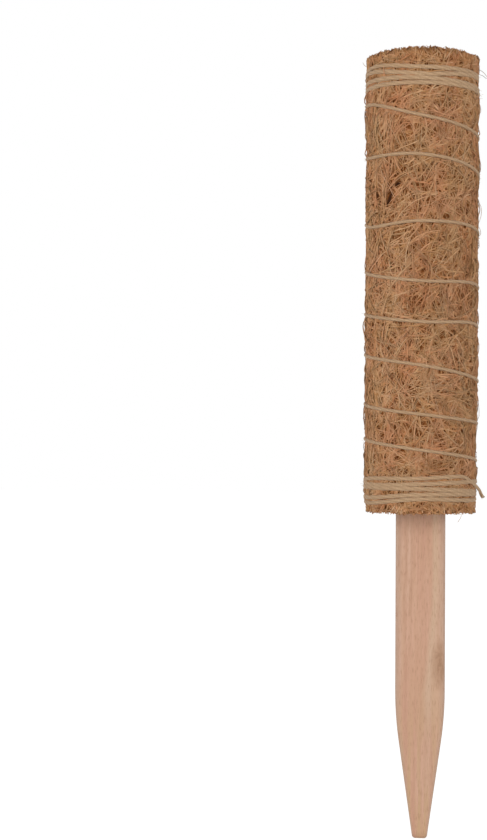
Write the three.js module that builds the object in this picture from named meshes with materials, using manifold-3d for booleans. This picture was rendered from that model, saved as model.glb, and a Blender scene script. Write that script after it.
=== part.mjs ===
// Moss pole: a coir mat rolled round a plastic tube, bound with jute twine, on a pointed wooden stake.
// Millimetres, +Z up. The origin is on the pole's axis at the soil line, where the coir ends and the bare
// stake begins. The stake's broad faces look along -Y, the front, and +Y.

import * as THREE from 'three';
import { mergeVertices } from 'three/addons/utils/BufferGeometryUtils.js';
import loadManifold from 'manifold-3d';

const wasm = await loadManifold();
wasm.setup();

// Clearance between pieces that seat on each other
const FIT_CLEARANCE = 0.3;

// Stake: a flat slat of wood, cut to a blunt point
const STAKE_WIDTH = 19;
const STAKE_THICKNESS = 10;
const STAKE_BARE_LENGTH = 125.5;
const STAKE_SEATED_LENGTH = 46;
const STAKE_EDGE_ROUND = 0.8;
const TAPER_LENGTH = 47;
const TAPER_SHOULDER = 10;
const TIP_WIDTH = 5.5;
const TIP_ROUND = 1.3;

// Tube: the core that the mat is rolled on, and the socket for the stake of a pole stacked on top
const SOCKET_CLEARANCE = 0.4;
const TUBE_WALL = 1.6;
const TUBE_RECESS = 2;
const TUBE_RIM_CHAMFER = 0.4;

// Mat: one sheet of coir, rolled until its edges meet in a seam at the back
const MAT_LENGTH = 175;
const MAT_THICKNESS = 8.8;
const MAT_RIM_ROUND = 1.2;
const MAT_SEAM_WIDTH = 1;
const BINDING_PINCH = 0.5;
const BINDING_PINCH_REACH = 7;

// Nails: one through each side of the tube into the stake's narrow edge. The left one is measured up from
// the soil line, and the right one down from the stake's upper end.
const NAIL_SHANK_DIAMETER = 1.6;
const NAIL_HEAD_DIAMETER = 4;
const NAIL_HEAD_HEIGHT = 0.8;
const NAIL_LENGTH = 11;
const NAIL_POINT_LENGTH = 2;
const LEFT_NAIL_HEIGHT = 14;
const RIGHT_NAIL_INSET = 14;

// Twine: one length, wound from the top down. It starts trapped under its own first turns and ends brought
// up over its last ones, with a short free tail at the right.
const TWINE_DIAMETER = 1.3;
const TWINE_LAYER_GAP = 0.7;
const TOP_BINDING_TURNS = 4;
const TOP_BINDING_INSET = 6;
const TOP_BINDING_GAP = 1.3;
const BOTTOM_BINDING_TURNS = 4;
const BOTTOM_BINDING_INSET = 11.5;
const BOTTOM_BINDING_GAP = 0.8;
const SPIRAL_LEAD = 2;
const TUCK_TURNS = 0.29;
const TUCK_DROP = 7;
const APPROACH_TURNS = 0.12;
const APPROACH_RISE = 0.6;
const CROSSING_TURNS = 0.5;
const CROSSING_LEAD_TURNS = 0.08;
const CROSSING_LEAD_RISE = 0.4;
const FINISH_GAP = 0.8;
const FINISH_CREST = 0.3;
const FINISH_TURNS = 0.36;
const TAIL_TURNS = 0.13;
const TAIL_DROP = 10;
const LAYER_RAMP_TURNS = 0.07;
const QUARTER_TURN = 0.25;

// How far each turn of the open spiral strays from an even pitch, at the pole's left, front and right
const SPIRAL_DRIFT = [
  [0, -3, -5],
  [-3.5, 1, -2],
  [-11.5, -5.5, -4],
  [-10, -10, -6.5],
  [-7.5, -7, -4],
  [-6, -5.5, -7.5],
  [-5.5, -5, -6],
  [-0.5, -0.5, -1.5],
];

// Facets
const ROUND_SEGMENTS = 48;
const NAIL_SEGMENTS = 12;
const CURVE_SEGMENTS = 6;
const EDGE_SEGMENTS = 2;
const STEPS_PER_TURN = 24;
const TAIL_STEPS = 8;
const TWINE_SIDES = 6;

// Sizes that follow from the driving dimensions
const stakeReach =
  Math.hypot(STAKE_WIDTH / 2 - STAKE_EDGE_ROUND, STAKE_THICKNESS / 2 - STAKE_EDGE_ROUND) + STAKE_EDGE_ROUND;
const tubeBore = stakeReach + SOCKET_CLEARANCE;
const tubeOuter = tubeBore + TUBE_WALL;
const matInner = tubeOuter + FIT_CLEARANCE;
const matOuter = matInner + MAT_THICKNESS;
const topPitch = TWINE_DIAMETER + TOP_BINDING_GAP;
const bottomPitch = TWINE_DIAMETER + BOTTOM_BINDING_GAP;
const topBindingStart = MAT_LENGTH - TOP_BINDING_INSET;
const topBindingEnd = topBindingStart - topPitch * TOP_BINDING_TURNS;
const topBindingMiddle = (topBindingStart + topBindingEnd) / 2;
const bottomBindingEnd = BOTTOM_BINDING_INSET - bottomPitch * (BOTTOM_BINDING_TURNS - CROSSING_TURNS);
const finishHeight = BOTTOM_BINDING_INSET + TWINE_DIAMETER + FINISH_GAP;
const bottomBindingMiddle = (bottomBindingEnd + finishHeight) / 2;

// A closed geometry as a solid that can be cut
function solidFrom(geometry) {
  const bare = geometry.clone();
  bare.deleteAttribute('normal');
  bare.deleteAttribute('uv');
  const merged = mergeVertices(bare);
  const vertProperties = merged.attributes.position.array;
  const triVerts = Uint32Array.from(merged.index.array);
  return new wasm.Manifold(new wasm.Mesh({ numProp: 3, vertProperties, triVerts }));
}

function geometryFrom(solid) {
  const mesh = solid.getMesh();
  const geometry = new THREE.BufferGeometry();
  geometry.setAttribute('position', new THREE.BufferAttribute(mesh.vertProperties, 3));
  geometry.setIndex(new THREE.BufferAttribute(mesh.triVerts, 1));
  return geometry;
}

function cut(geometry, cutters) {
  const start = solidFrom(geometry);
  const rest = cutters.reduce((solid, cutter) => solid.subtract(solidFrom(cutter)), start);
  return geometryFrom(rest);
}

// A ring turned about Z from a closed profile of radius and height
function turnedRing(profile) {
  const closed = [...profile, profile[0].clone()];
  return new THREE.LatheGeometry(closed, ROUND_SEGMENTS).rotateX(Math.PI / 2);
}

// A cylinder along X between two distances from the axis, on the side that the sign of side gives
function sidewaysCylinder(radius, near, far, side, height) {
  const cylinder = new THREE.CylinderGeometry(radius, radius, far - near, NAIL_SEGMENTS);
  return cylinder.rotateZ(Math.PI / 2).translate((side * (near + far)) / 2, 0, height);
}

const nails = [
  { name: 'stake_nail_left', side: -1, height: LEFT_NAIL_HEIGHT },
  { name: 'stake_nail_right', side: 1, height: STAKE_SEATED_LENGTH - RIGHT_NAIL_INSET },
];
const nailHeadSeat = tubeOuter + FIT_CLEARANCE;
const nailTip = nailHeadSeat - NAIL_LENGTH;
const nailHole = NAIL_SHANK_DIAMETER / 2 + FIT_CLEARANCE;

// Half of the outline runs up the right side, and the other half mirrors it
function stakeOutline() {
  const bottom = -STAKE_BARE_LENGTH;
  const half = STAKE_WIDTH / 2;
  const tip = new THREE.Vector2(TIP_WIDTH / 2, bottom);
  const corner = new THREE.Vector2(half, bottom + TAPER_LENGTH);
  const along = corner.clone().sub(tip).normalize();
  const tipEnd = tip.clone().addScaledVector(along, TIP_ROUND);
  const shoulder = corner.clone().addScaledVector(along, -TAPER_SHOULDER);
  const straight = corner.y + TAPER_SHOULDER;
  const outline = new THREE.Shape();
  outline.moveTo(tip.x - TIP_ROUND, bottom);
  outline.quadraticCurveTo(tip.x, tip.y, tipEnd.x, tipEnd.y);
  outline.lineTo(shoulder.x, shoulder.y);
  outline.quadraticCurveTo(corner.x, corner.y, half, straight);
  outline.lineTo(half, STAKE_SEATED_LENGTH);
  outline.lineTo(-half, STAKE_SEATED_LENGTH);
  outline.lineTo(-half, straight);
  outline.quadraticCurveTo(-corner.x, corner.y, -shoulder.x, shoulder.y);
  outline.lineTo(-tipEnd.x, tipEnd.y);
  outline.quadraticCurveTo(-tip.x, tip.y, TIP_ROUND - tip.x, bottom);
  return outline;
}

function stakeGeometry() {
  const depth = STAKE_THICKNESS - 2 * STAKE_EDGE_ROUND;
  const slat = new THREE.ExtrudeGeometry(stakeOutline(), {
    depth,
    curveSegments: CURVE_SEGMENTS,
    bevelThickness: STAKE_EDGE_ROUND,
    bevelSize: STAKE_EDGE_ROUND,
    bevelOffset: -STAKE_EDGE_ROUND,
    bevelSegments: EDGE_SEGMENTS,
  });
  slat.translate(0, 0, -depth / 2).rotateX(Math.PI / 2);
  const holes = nails.map(({ side, height }) =>
    sidewaysCylinder(nailHole, nailTip - FIT_CLEARANCE, STAKE_WIDTH, side, height),
  );
  return cut(slat, holes);
}

function tubeGeometry() {
  const bottom = TUBE_RECESS;
  const top = MAT_LENGTH - TUBE_RECESS;
  const profile = [
    new THREE.Vector2(tubeBore, bottom),
    new THREE.Vector2(tubeOuter, bottom),
    new THREE.Vector2(tubeOuter, top - TUBE_RIM_CHAMFER),
    new THREE.Vector2(tubeOuter - TUBE_RIM_CHAMFER, top),
    new THREE.Vector2(tubeBore, top),
  ];
  const holes = nails.map(({ side, height }) =>
    sidewaysCylinder(nailHole, tubeBore - TUBE_WALL, tubeOuter + TUBE_WALL, side, height),
  );
  return cut(turnedRing(profile), holes);
}

// The mat's radius at a height: each binding draws the fibres in
function matRadius(height) {
  const pinchAt = (middle) => {
    const share = Math.min(1, Math.abs(height - middle) / BINDING_PINCH_REACH);
    return (1 + Math.cos(Math.PI * share)) / 2;
  };
  return matOuter - BINDING_PINCH * (pinchAt(topBindingMiddle) + pinchAt(bottomBindingMiddle));
}

function matGeometry() {
  const wallPoints = [bottomBindingMiddle, topBindingMiddle].flatMap((middle) =>
    [-1, -0.5, 0, 0.5, 1].map((share) => {
      const height = middle + share * BINDING_PINCH_REACH;
      return new THREE.Vector2(matRadius(height), height);
    }),
  );
  const outline = new THREE.Path();
  outline.moveTo(matInner, 0);
  outline.lineTo(matOuter - MAT_RIM_ROUND, 0);
  outline.quadraticCurveTo(matOuter, 0, matOuter, MAT_RIM_ROUND);
  wallPoints.forEach((point) => outline.lineTo(point.x, point.y));
  outline.lineTo(matOuter, MAT_LENGTH - MAT_RIM_ROUND);
  outline.quadraticCurveTo(matOuter, MAT_LENGTH, matOuter - MAT_RIM_ROUND, MAT_LENGTH);
  outline.lineTo(matInner, MAT_LENGTH);
  const ring = turnedRing(outline.getPoints(EDGE_SEGMENTS));

  const seam = new THREE.BoxGeometry(MAT_SEAM_WIDTH, 2 * MAT_THICKNESS, 2 * MAT_LENGTH);
  seam.translate(0, matInner + MAT_THICKNESS / 2, MAT_LENGTH / 2);
  const pockets = nails.map(({ side, height }) =>
    sidewaysCylinder(
      NAIL_HEAD_DIAMETER / 2 + FIT_CLEARANCE,
      tubeBore,
      nailHeadSeat + NAIL_HEAD_HEIGHT + FIT_CLEARANCE,
      side,
      height,
    ),
  );
  return cut(ring, [seam, ...pockets]);
}

// A nail lying along X with its head outward on the given side
function nailGeometry(side) {
  const shank = NAIL_SHANK_DIAMETER / 2;
  const head = NAIL_HEAD_DIAMETER / 2;
  const profile = [
    new THREE.Vector2(0, nailTip),
    new THREE.Vector2(shank, nailTip + NAIL_POINT_LENGTH),
    new THREE.Vector2(shank, nailHeadSeat),
    new THREE.Vector2(head, nailHeadSeat),
    new THREE.Vector2(head, nailHeadSeat + NAIL_HEAD_HEIGHT),
    new THREE.Vector2(0, nailHeadSeat + NAIL_HEAD_HEIGHT),
  ];
  return new THREE.LatheGeometry(profile, NAIL_SEGMENTS).rotateZ((-side * Math.PI) / 2);
}

// The twine's stages by turns wound. Turn 0 is at the pole's left, and a quarter turn on is the front.
const spiralStart = TOP_BINDING_TURNS;
const spiralTurns = SPIRAL_DRIFT.length;
const bottomStart = spiralStart + spiralTurns;
const finishStart = bottomStart + BOTTOM_BINDING_TURNS;
const crossingStart = finishStart - CROSSING_TURNS;
const tailStart = finishStart + FINISH_TURNS;
const tailEnd = tailStart + TAIL_TURNS;

// Pairs of turns wound and height that the twine passes through
function twineStations() {
  const stations = [[-TUCK_TURNS, topBindingStart - TUCK_DROP]];
  for (let turn = 0; turn < TOP_BINDING_TURNS - QUARTER_TURN; turn += QUARTER_TURN) {
    stations.push([turn, topBindingStart - topPitch * turn]);
  }
  const spiralTop = topBindingEnd - SPIRAL_LEAD;
  const spiralPitch = (spiralTop - BOTTOM_BINDING_INSET) / spiralTurns;
  SPIRAL_DRIFT.forEach((drifts, loop) => {
    drifts.forEach((drift, quarter) => {
      const turn = loop + quarter * QUARTER_TURN;
      stations.push([spiralStart + turn, spiralTop - spiralPitch * turn + drift]);
    });
  });
  stations.push([bottomStart - APPROACH_TURNS, BOTTOM_BINDING_INSET + APPROACH_RISE]);
  for (let turn = 0; turn <= BOTTOM_BINDING_TURNS - CROSSING_TURNS; turn += QUARTER_TURN) {
    stations.push([bottomStart + turn, BOTTOM_BINDING_INSET - bottomPitch * turn]);
  }
  stations.push([crossingStart + CROSSING_LEAD_TURNS, bottomBindingEnd + CROSSING_LEAD_RISE]);
  stations.push([finishStart, finishHeight]);
  stations.push([finishStart + QUARTER_TURN, finishHeight]);
  stations.push([tailStart, finishHeight + FINISH_CREST]);
  stations.push([(tailStart + tailEnd) / 2, finishHeight - TAIL_DROP / 2]);
  stations.push([tailEnd, finishHeight - TAIL_DROP]);
  return stations;
}

// The stretches of twine that lie on the outer layer: over the tucked start, over the bottom binding as the
// end comes back up, and along the tail
function outerStretches() {
  const tuckSlope = TUCK_DROP / TUCK_TURNS + topPitch;
  const half = (TWINE_DIAMETER + TWINE_LAYER_GAP) / tuckSlope;
  const overTuck = [1, 2, 3].map((turn) => {
    const middle = turn * (1 - topPitch / tuckSlope);
    return [middle - half, middle + half];
  });
  const overBinding = [crossingStart + LAYER_RAMP_TURNS, finishStart - LAYER_RAMP_TURNS / 2];
  const overTail = [tailStart + LAYER_RAMP_TURNS / 2, tailEnd + 1];
  return [...overTuck, overBinding, overTail];
}

function twinePath() {
  const stations = twineStations();
  const heightAt = new THREE.CubicInterpolant(
    stations.map(([turn]) => turn),
    stations.map(([, height]) => height),
    1,
  );
  const stretches = outerStretches();
  const layerAt = (turn) =>
    stretches.reduce((sum, [from, to]) => {
      const up = THREE.MathUtils.smoothstep(turn, from - LAYER_RAMP_TURNS, from);
      const down = THREE.MathUtils.smoothstep(turn, to, to + LAYER_RAMP_TURNS);
      return sum + up * (1 - down);
    }, 0);
  const turns = [];
  for (let turn = -TUCK_TURNS; turn < tailStart; turn += 1 / STEPS_PER_TURN) {
    turns.push(turn);
  }
  const lastTurn = turns.at(-1);
  for (let step = 1; step <= TAIL_STEPS; step += 1) {
    turns.push(THREE.MathUtils.lerp(lastTurn, tailEnd, step / TAIL_STEPS));
  }
  const layerRise = TWINE_DIAMETER + TWINE_LAYER_GAP;
  const path = turns.map((turn) => {
    const [height] = heightAt.evaluate(turn);
    const radius = matRadius(height) + FIT_CLEARANCE + TWINE_DIAMETER / 2 + layerAt(turn) * layerRise;
    const angle = Math.PI * (1 + 2 * turn);
    return new THREE.Vector3(radius * Math.cos(angle), radius * Math.sin(angle), height);
  });
  return straightEnds(path);
}

// Each end runs on straight for one diameter
function straightEnds(path) {
  const run = (end, before) => end.clone().sub(before).setLength(TWINE_DIAMETER).add(end);
  return [run(path[0], path[1]), ...path, run(path.at(-1), path.at(-2))];
}

// The smallest gap between stretches of the twine that lie side by side
function leastGap(path) {
  let least = Infinity;
  path.forEach((point, first) => {
    path.slice(first + STEPS_PER_TURN / 2).forEach((other) => {
      least = Math.min(least, point.distanceTo(other) - TWINE_DIAMETER);
    });
  });
  return least;
}

function twineGeometry(path) {
  const positions = [];
  path.forEach((point, index) => {
    const before = path[Math.max(0, index - 1)];
    const after = path[Math.min(path.length - 1, index + 1)];
    const along = after.clone().sub(before).normalize();
    const outward = new THREE.Vector3(point.x, point.y, 0);
    outward.addScaledVector(along, -outward.dot(along)).normalize();
    const across = along.clone().cross(outward);
    for (let side = 0; side < TWINE_SIDES; side += 1) {
      const angle = (2 * Math.PI * side) / TWINE_SIDES;
      const corner = point.clone();
      corner.addScaledVector(outward, (Math.cos(angle) * TWINE_DIAMETER) / 2);
      corner.addScaledVector(across, (Math.sin(angle) * TWINE_DIAMETER) / 2);
      positions.push(corner.x, corner.y, corner.z);
    }
  });
  const index = [];
  for (let ring = 0; ring < path.length - 1; ring += 1) {
    for (let side = 0; side < TWINE_SIDES; side += 1) {
      const next = (side + 1) % TWINE_SIDES;
      const low = ring * TWINE_SIDES;
      const high = low + TWINE_SIDES;
      index.push(low + side, low + next, high + next);
      index.push(low + side, high + next, high + side);
    }
  }
  const last = (path.length - 1) * TWINE_SIDES;
  for (let side = 1; side < TWINE_SIDES - 1; side += 1) {
    index.push(0, side + 1, side);
    index.push(last, last + side, last + side + 1);
  }
  const geometry = new THREE.BufferGeometry();
  geometry.setAttribute('position', new THREE.Float32BufferAttribute(positions, 3));
  geometry.setIndex(index);
  return geometry;
}

const wood = new THREE.MeshStandardMaterial({ color: 0xc7a086, roughness: 0.75, metalness: 0 });
const plastic = new THREE.MeshStandardMaterial({ color: 0xd8d5cd, roughness: 0.45, metalness: 0 });
const coir = new THREE.MeshStandardMaterial({ color: 0x997051, roughness: 0.95, metalness: 0 });
const jute = new THREE.MeshStandardMaterial({ color: 0xbc9d7f, roughness: 0.9, metalness: 0 });
const steel = new THREE.MeshStandardMaterial({ color: 0x9a9a98, roughness: 0.35, metalness: 1 });

const mossPole = new THREE.Group();

function place(name, geometry, material, height = 0) {
  const mesh = new THREE.Mesh(geometry, material);
  mesh.name = name;
  mesh.position.z = height;
  mossPole.add(mesh);
}

place('stake', stakeGeometry(), wood);
place('core_tube', tubeGeometry(), plastic);
place('coir_mat', matGeometry(), coir);
nails.forEach(({ name, side, height }) => place(name, nailGeometry(side), steel, height));

const path = twinePath();
place('twine', twineGeometry(path), jute);
const length = path.slice(1).reduce((sum, point, index) => sum + point.distanceTo(path[index]), 0);
console.log(`twine: ${length.toFixed(0)} mm long, least gap to itself ${leastGap(path).toFixed(2)} mm`);

export default mossPole;
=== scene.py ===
"""Moss pole: coir fibre, jute twine and a wooden stake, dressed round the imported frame. Metres, +Z up."""

import math

import bpy
import numpy as np
from mathutils import Matrix, Vector, noise


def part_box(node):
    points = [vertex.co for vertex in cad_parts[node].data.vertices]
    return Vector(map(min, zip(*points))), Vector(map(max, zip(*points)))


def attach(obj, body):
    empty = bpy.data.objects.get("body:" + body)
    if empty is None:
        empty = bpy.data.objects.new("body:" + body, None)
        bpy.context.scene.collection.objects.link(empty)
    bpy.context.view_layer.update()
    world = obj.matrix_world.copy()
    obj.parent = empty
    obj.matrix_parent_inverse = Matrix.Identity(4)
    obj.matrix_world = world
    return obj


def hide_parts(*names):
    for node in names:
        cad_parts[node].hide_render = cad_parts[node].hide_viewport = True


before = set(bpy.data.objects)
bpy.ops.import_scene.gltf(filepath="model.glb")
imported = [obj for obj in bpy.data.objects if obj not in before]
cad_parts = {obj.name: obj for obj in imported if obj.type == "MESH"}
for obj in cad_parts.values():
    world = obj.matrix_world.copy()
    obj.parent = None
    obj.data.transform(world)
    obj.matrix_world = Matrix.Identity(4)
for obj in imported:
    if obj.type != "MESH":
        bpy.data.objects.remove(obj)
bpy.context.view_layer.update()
MM = 0.001

# Sizes read from the frame
mat_low, mat_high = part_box("coir_mat")
tube_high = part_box("core_tube")[1]
stake_low, stake_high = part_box("stake")
MAT_RADIUS = mat_high.x
MAT_BOTTOM = mat_low.z
MAT_TOP = mat_high.z
MAT_INNER = tube_high.x + 0.3 * MM
STAKE_TIP = stake_low.z
STAKE_HALF_WIDTH = stake_high.x

# Camera: level, in front of the pole and turned to its left, so that the pole stands right of the middle
IMAGE_HEIGHT = 840
FOCAL_PIXELS = 1643.8
SENSOR_SIZE = 36
CAMERA_PLACE = (0, -0.6403, 0.0351)
CAMERA_TURN = math.radians(6.16)
CAMERA_ROLL = 0.0037

# Mat. Angles run round the pole from its right: 180 degrees is its left and 270 its front.
LUMP_HEIGHT = 0.1 * MM
BULGE_TURN = 0.6
BULGE_REACH = 5 * MM
# Where the outline stands out or falls in: angle in degrees, height and size in millimetres
BULGES = (
    (0, 157, 0.5), (0, 133.5, 0.5), (0, 107, 0.2), (0, 28, -0.6),
    (0, 20, -0.35), (0, 8, -0.3), (0, 1, -0.7),
    (180, 135, -0.25), (180, 105, -0.25), (180, 7.5, 0.4), (180, 0, -0.5),
)
# Highs and lows of the cut top rim: angle in degrees, size in millimetres, spread in degrees
RIM_CUTS = ((265, 0.4, 28), (327, -0.8, 10), (213, -0.25, 10))
RIM_CUT_REACH = 6 * MM
SEAM_ANGLE = math.pi / 2
SEAM_DEPTH = 1.4 * MM
SEAM_HALF_WIDTH = 0.8 * MM
SEAM_CROSSING_CHANCE = 0.12
GROOVE_DEPTH = 0.3 * MM
GROOVE_REACH = 0.9 * MM

# Core under the fibres
CORE_COLUMNS = 280
CORE_ROWS = 300
CORE_DEPTH = 0.5 * MM
CORE_INSET = 0.5 * MM
CORE_ROUGHNESS = 0.2 * MM
CORE_RIM_ROUND = 0.6 * MM
CORE_FACE_REACH = 2 * MM

# Needle holes, one in most cells of a grid round the mat that starts one row below it
PIT_SPACING = 2.6 * MM
PIT_COLUMNS = round(2 * math.pi * MAT_RADIUS / PIT_SPACING)
PIT_ROWS = math.ceil((MAT_TOP - MAT_BOTTOM) / PIT_SPACING) + 2
PIT_RADII = (0.34 * MM, 0.64 * MM)
PIT_STRETCH = 0.5
PIT_RIM_GAP = 0.4 * PIT_SPACING
PIT_SEED = 21
PIT_CHANCE = 0.85
PIT_CLUSTERS = 0.12
PIT_DEPTH = 0.35 * MM
# Painted shade that darkens fibres around each needle hole
PIT_PAINTED_SHADE = 0.3
PIT_FADE = 1.3
NO_HOLE = 0.001 * MM
CROSSING_CHANCE = 0.07

# Torn holes left of the front: angle in degrees, height, lean in degrees, stretch, radius. Millimetres
TORN_HOLES = ((234.4, 119.1, 68, 2.1, 1.4), (244, 124.2, 35, 1.35, 0.85), (217, 121, 90, 1.2, 0.6))
TORN_DEPTH = 1.2 * MM
TORN_OPEN = 0.4

# How fibres lie in clumps: spreads in radians of a clump's lean and bend, and of each fibre off its clump
CLUMP_FIBRES = 3
SPARE_CLUMPS = 5
CLUMP_WIDTH = 0.55 * MM
CLUMP_LENGTH = 2 * MM
CLUMP_LEAN = 1.15
CLUMP_BEND = 0.6
FIBRE_STRAY = 0.35
FIBRE_WIGGLE = 0.2
WIGGLE_WAVES = (0.7, 1.8)
SWELL_HEIGHT = (0.05 * MM, 0.22 * MM)
SWELL_WAVES = (1, 2.5)
END_DIP = (0.1 * MM, 0.6 * MM)
DEPTH_STRAY = 0.08 * MM
CUT_INSET = 1.4 * MM
FIBRE_SIDES = 3
# Thickness, as shares of a layer's own: middle, spread, least and most. Taper: loss at the ends, and power
FIBRE_THICKNESS = (1, 0.22, 0.5, 1.8)
FIBRE_TAPER = (0.55, 3)

# Colour of fibres: tone runs from 0, dark husk, to 1, straw, and hue from 0, gold, to 1, red.
# Spreads are by clump, by fibre and by patch, and the phases set the patches of each apart.
TONE_SPREADS = (0.045, 0.055, 0.03)
TONE_LIMITS = (0.02, 0.72)
HUE_MIDDLE = 0.42
HUE_SPREADS = (0.3, 0.12, 0.36)
TONE_PHASE, PIT_PHASE, HUE_PHASE = 0, 1, 2
# Painted shade on fibres that arch or stand off the mat, by how far they are raised
RAISED_PAINTED_SHADE = 0.1 / MM
# Painted shade that darkens fibres towards the top rim, and how far down it reaches
RIM_PAINTED_SHADE = 0.08
RIM_PAINTED_SHADE_REACH = 6 * MM
# How far fibres are shaded as the round of the whole mat, and how that round rolls over the top rim
SOFTNESS = 0.8
RIM_ROLL = 1.5
RIM_ROLL_REACH = 2 * MM

# Layers of fibre, the deepest first, then a few long and bold ones. The open share is how much of each
# needle hole they leave free.
FIBRE_LAYERS = (
    dict(
        name="coir_fibre_deep", seed=11, wanted=1260, depth=(-0.52 * MM, -0.4 * MM), tone=0.44,
        length=(5 * MM, 13 * MM), thickness=0.3 * MM, lift=0, steps=9, open_share=1,
    ),
    dict(
        name="coir_fibre_low", seed=12, wanted=1260, depth=(-0.46 * MM, -0.35 * MM), tone=0.45,
        length=(6 * MM, 15 * MM), thickness=0.25 * MM, lift=0, steps=9, open_share=1,
    ),
    dict(
        name="coir_fibre_high", seed=13, wanted=1260, depth=(-0.4 * MM, -0.28 * MM), tone=0.475,
        length=(6 * MM, 16 * MM), thickness=0.2 * MM, lift=0, steps=9, open_share=1,
    ),
    dict(
        name="coir_fibre_top", seed=16, wanted=1260, depth=(-0.28 * MM, -0.12 * MM), tone=0.535,
        length=(8 * MM, 20 * MM), thickness=0.17 * MM, lift=0.8 * MM, steps=9, open_share=0.6,
    ),
    dict(
        name="coir_fibre_long", seed=15, wanted=150, depth=(-0.15 * MM, 0), tone=0.57,
        length=(12 * MM, 26 * MM), thickness=0.15 * MM, lift=0.5 * MM, steps=16, open_share=0,
    ),
    dict(
        name="coir_fibre_bold", seed=17, wanted=120, depth=(-0.3 * MM, -0.15 * MM), tone=0.56,
        length=(8 * MM, 20 * MM), thickness=0.24 * MM, lift=0.3 * MM, steps=12, open_share=0,
    ),
)

# Fibres at the mat's two ends: its level, the way out, how many, and how ragged its rim is.
# A varied value is written as its middle and spread, followed by its least and most.
END_STEPS = 6
END_SIDES = 4
END_TAPER = (0.3, 4)
RING_SEED = 14
RING_ENDS = ((MAT_TOP, 1, 1500), (MAT_BOTTOM, -1, 1000))
RING_LENGTH = (5 * MM, 12 * MM)
RING_BEND = 1.0
RING_DEPTH = (-0.7 * MM, -0.1 * MM)
RING_MARGIN = 0.3 * MM
RING_RADIUS = (0.19 * MM, 0.04 * MM, 0.1 * MM, 0.3 * MM)
RING_TONE = (0.4, 0.1, 0.02, 0.95)
RING_HUE = (0.45, 0.3, 0, 1)
RIM_SEED = 18
RIM_ENDS = ((MAT_TOP, 1, 620, 0.05 * MM), (MAT_BOTTOM, -1, 380, 0.3 * MM))
RIM_LENGTH = (1.5 * MM, 4.5 * MM)
RIM_LEAN = (0, 0.7, -1.2, 1.2)
RIM_CUT_SHORT = -0.35 * MM
RIM_STANDING = 0.45 * MM
RIM_FLARE = 0.45 * MM
RIM_DEPTH = (-0.6 * MM, -0.05 * MM)
RIM_RADIUS = (0.21 * MM, 0.05 * MM, 0.1 * MM, 0.34 * MM)
RIM_TONE = (0.45, 0.15, 0.02, 0.75)
RIM_HUE = (0.3, 0.35, 0, 1)
END_DROP = 0.5 * MM

# Loose fibres that stand off the pole: points across, towards the front and up, in millimetres
STRAY_FIBRES = (
    ((-20.6, 2, 171.2), (-21.6, 1, 172.4), (-22.4, 0, 173.2), (-23.0, -1, 174.4)),
    (
        (21.0, 0, 171.0), (23.2, 1, 169.5), (24.9, 2, 167.2),
        (24.4, 2, 166.8), (23.2, 1, 168.0), (21.0, 0, 169.0),
    ),
    ((21.2, 0, 120.6), (22.7, 1, 117.5), (22.8, 1, 114.5), (21.9, 0, 111.5), (20.8, -1, 110.0)),
    ((21.0, 0, 111.0), (22.4, 1, 108.8), (22.5, 1, 106.8), (20.9, 0, 105.6)),
    ((20.8, 0, 158.5), (22.2, 1, 156.6), (22.4, 1, 154.0), (20.9, 0, 152.5)),
    ((15.6, 12, 2.0), (15.5, 12, 0.0), (15.1, 12, -1.6), (14.0, 12, -3.4)),
)
STRAY_STEPS = 24
STRAY_RADIUS = 0.085 * MM
STRAY_TONE = 0.6
STRAY_HUE = 0.2

# Twine
TWINE_RADIUS = 0.6 * MM
TWINE_SEAT = -0.1 * MM
TWINE_STEP = 0.5 * MM
TWINE_SIDES = 12
PLIES = 3
PLY_RELIEF = 0.13
PLY_PITCH = 5 * MM
YARN_UNEVEN = 0.14
YARN_LUMPS_PER_METRE = 260
BINDING_PRESS = 0.4
BINDING_REACH = 6 * MM
BINDING_MIDDLES = (8.9 * MM, 164.8 * MM)
# The part of a turn at the pole's left, front and right, and each turn's heights there in millimetres
TURN_PLACES = (0.056, 0.25, 0.444)
TURN_HEIGHTS = (
    (169.8, 167.7, 167.3),
    (168.3, 165.1, 166.2),
    (164.9, 163.6, 162.3),
    (162.4, 161.8, 161.0),
    (156.2, 149.6, 145.0),
    (135.8, 135.0, 130.4),
    (109.4, 110.0, 108.4),
    (91.3, 87.5, 87.2),
    (75.3, 72.2, 72.0),
    (59.6, 55.9, 51.4),
    (40.6, 37.5, 34.7),
    (27.4, 24.1, 20.7),
    (10.9, 11.3, 12.0),
    (9.6, 9.5, 8.3),
    (5.7, 7.3, 7.1),
    (3.6, 5.7, 4.9),
)
# Its ends, as pairs of turns wound and height in millimetres, and where it dips, crosses and leaves the mat
TUCKED_START = (-0.29, 162.0)
TUCK_DEPTH = 0.9 * MM
TUCK_END = 0.04
BACK_CROSSING = (15.55, 15.98)
CROSSING_LIFT = 1.25 * MM
CROSSING_RAMP = 0.06
FINISH_STATIONS = (
    (15.62, 6.4), (16.056, 12.8), (16.25, 13.4), (16.375, 14.1),
    (16.41, 12.6), (16.444, 10.8), (16.475, 8.8), (16.505, 5.9),
)
TAIL_START = 16.41
TAIL_LIFT = 2.7 * MM
TAIL_UNPRESSED = (9 * MM, 5 * MM)
# Hairs that stand off the yarn, and the thicker ones of its frayed end
HAIR_SEED = 31
HAIRS = 900
HAIR_STEPS = 6
HAIR_LENGTH = (0.5 * MM, 1.6 * MM)
HAIR_RADIUS = 0.035 * MM
FRAYED_HAIRS = 14
FRAYED_LENGTH = (0.4 * MM, 1.0 * MM)
FRAYED_RADIUS = 0.12 * MM

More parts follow.
